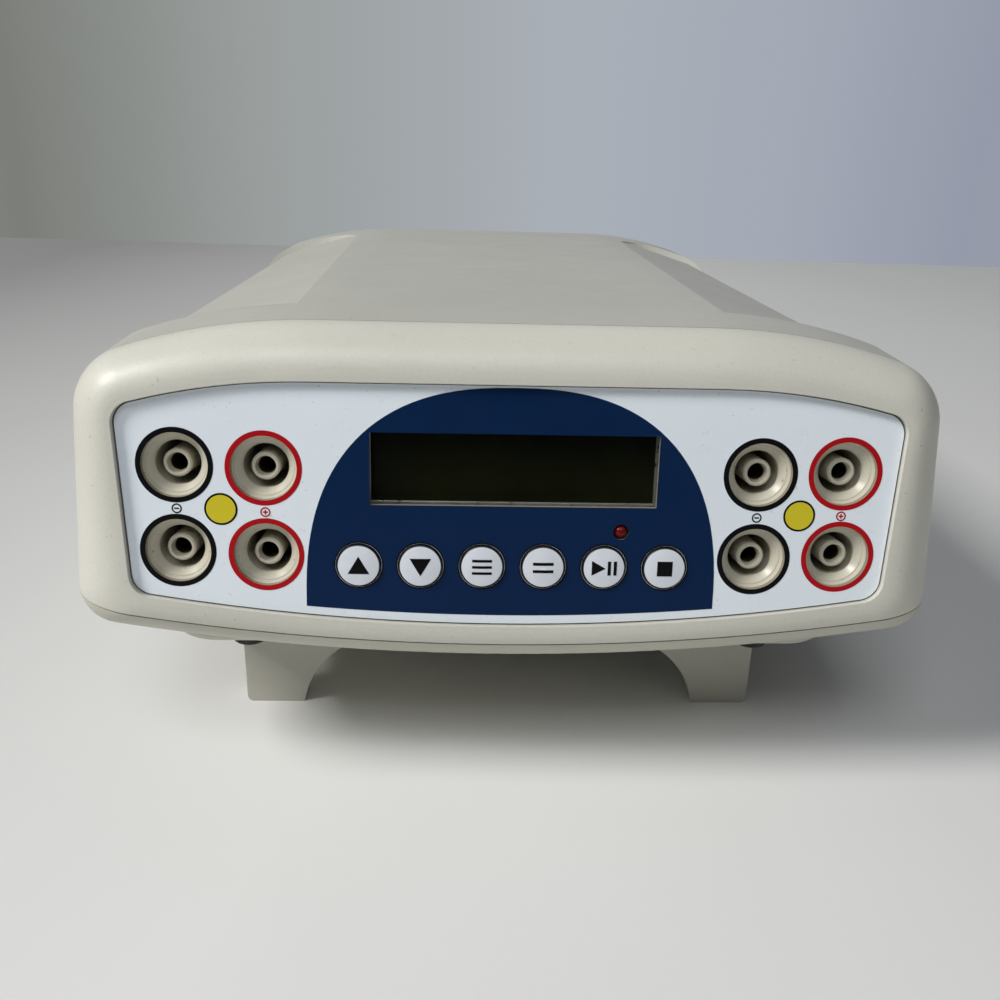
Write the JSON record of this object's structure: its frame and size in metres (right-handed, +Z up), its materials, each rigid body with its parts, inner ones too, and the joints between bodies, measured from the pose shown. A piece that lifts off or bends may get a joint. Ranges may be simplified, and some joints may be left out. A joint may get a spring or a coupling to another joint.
{
  "type": "electrophoresis power supply",
  "caption": "Benchtop electrophoresis power supply with a rounded bezel, display, round keys, shrouded output sockets and a fold-out tilt stand.",
  "frame": {"origin": "on the bench under the middle of the whole object, with the unit propped up on its stand", "axes": "front faces -Y, +X to the right seen from the front, +Z up from the bench; the housing leans back by its stand's angle"},
  "size_m": [0.2096, 0.2954, 0.1172],
  "materials": {
    "bezel_plastic": "fine-grained satin",
    "cover_plastic": "fine-grained satin",
    "base_plastic": "fine-grained satin",
    "stand_plastic": "satin",
    "overlay_film": "printed polyester film",
    "window_acrylic": "clear",
    "steel": "plated",
    "display_cell": "unlit display",
    "board_laminate": "solder mask",
    "key_plastic": "satin",
    "dark_plastic": "satin",
    "rocker_plastic": "semi-gloss",
    "lamp_red": "tinted",
    "socket_plastic": "satin",
    "contact_brass": "plated",
    "fuse_glass": "clear",
    "copper_winding": "taped coil",
    "aluminium": "extruded",
    "rear_metal": "powder coat",
    "capacitor_sleeve": "sleeve",
    "ribbon": "flat cable",
    "foot_rubber": "matt"
  },
  "bodies": {
    "housing": {"board_screws": "steel", "bottom_cover": "base_plastic", "case_screws": "steel", "control_board": "board_laminate", "control_screws": "steel", "display_window": "window_acrylic", "filter_capacitors": "capacitor_sleeve", "foot_front_left": "foot_rubber", "foot_front_right": "foot_rubber", "foot_rear_left": "foot_rubber", "foot_rear_right": "foot_rubber", "foot_screws": "steel", "front_bezel": "bezel_plastic", "front_overlay": "overlay_film", "heatsink": "aluminium", "inlet_body": "dark_plastic", "inlet_pins": "contact_brass", "inlet_screws": "steel", "key_switches": "dark_plastic", "lcd_board": "board_laminate", "lcd_frame": "steel", "lcd_glass": "display_cell", "lcd_spacers": "contact_brass", "main_board": "board_laminate", "negative_contacts": "contact_brass", "output_board_left": "board_laminate", "output_board_right": "board_laminate", "positive_contacts": "contact_brass", "power_transistors": "dark_plastic", "rear_panel": "rear_metal", "relays": "dark_plastic", "ribbon_cable": "ribbon", "run_led": "lamp_red", "socket_left_inner_lower": "socket_plastic", "socket_left_inner_upper": "socket_plastic", "socket_left_outer_lower": "socket_plastic", "socket_left_outer_upper": "socket_plastic", "socket_right_inner_lower": "socket_plastic", "socket_right_inner_upper": "socket_plastic", "socket_right_outer_lower": "socket_plastic", "socket_right_outer_upper": "socket_plastic", "switch_frame": "dark_plastic", "top_cover": "cover_plastic", "transformer_core": "steel", "transformer_winding": "copper_winding"},
    "key_up": {"key_up": "key_plastic"},
    "key_down": {"key_down": "key_plastic"},
    "key_mode": {"key_mode": "key_plastic"},
    "key_constant": {"key_constant": "key_plastic"},
    "key_run": {"key_run": "key_plastic"},
    "key_stop": {"key_stop": "key_plastic"},
    "stand": {"tilt_stand": "stand_plastic"},
    "fuse_drawer": {"fuse_drawer": "dark_plastic", "fuses": "fuse_glass"},
    "rocker": {"switch_rocker": "rocker_plastic"}
  },
  "joints": [
    {"name": "key_up_press", "type": "slide", "parent": "housing", "child": "key_up", "axis": [0, 0.9756, -0.2197], "range_m": [0, 0.0005], "stiffness_N_per_m": 600, "springref_m": -0.0008},
    {"name": "key_down_press", "type": "slide", "parent": "housing", "child": "key_down", "axis": [0, 0.9756, -0.2197], "range_m": [0, 0.0005], "stiffness_N_per_m": 600, "springref_m": -0.0008},
    {"name": "key_mode_press", "type": "slide", "parent": "housing", "child": "key_mode", "axis": [0, 0.9756, -0.2197], "range_m": [0, 0.0005], "stiffness_N_per_m": 600, "springref_m": -0.0008},
    {"name": "key_constant_press", "type": "slide", "parent": "housing", "child": "key_constant", "axis": [0, 0.9756, -0.2197], "range_m": [0, 0.0005], "stiffness_N_per_m": 600, "springref_m": -0.0008},
    {"name": "key_run_press", "type": "slide", "parent": "housing", "child": "key_run", "axis": [0, 0.9756, -0.2197], "range_m": [0, 0.0005], "stiffness_N_per_m": 600, "springref_m": -0.0008},
    {"name": "key_stop_press", "type": "slide", "parent": "housing", "child": "key_stop", "axis": [0, 0.9756, -0.2197], "range_m": [0, 0.0005], "stiffness_N_per_m": 600, "springref_m": -0.0008},
    {"name": "stand_fold", "type": "hinge", "parent": "housing", "child": "stand", "pos_m": [0, -0.10282, 0.03403], "axis": [1, 0, 0], "range_deg": [0, 90]},
    {"name": "fuse_drawer_slide", "type": "slide", "parent": "housing", "child": "fuse_drawer", "axis": [0, 0.9936, -0.1125], "range_m": [0, 0.02]},
    {"name": "mains_switch", "type": "hinge", "parent": "housing", "child": "rocker", "pos_m": [-0.02, 0.13717, 0.0461], "axis": [-1, 0, 0], "range_deg": [0, 24]}
  ]
}
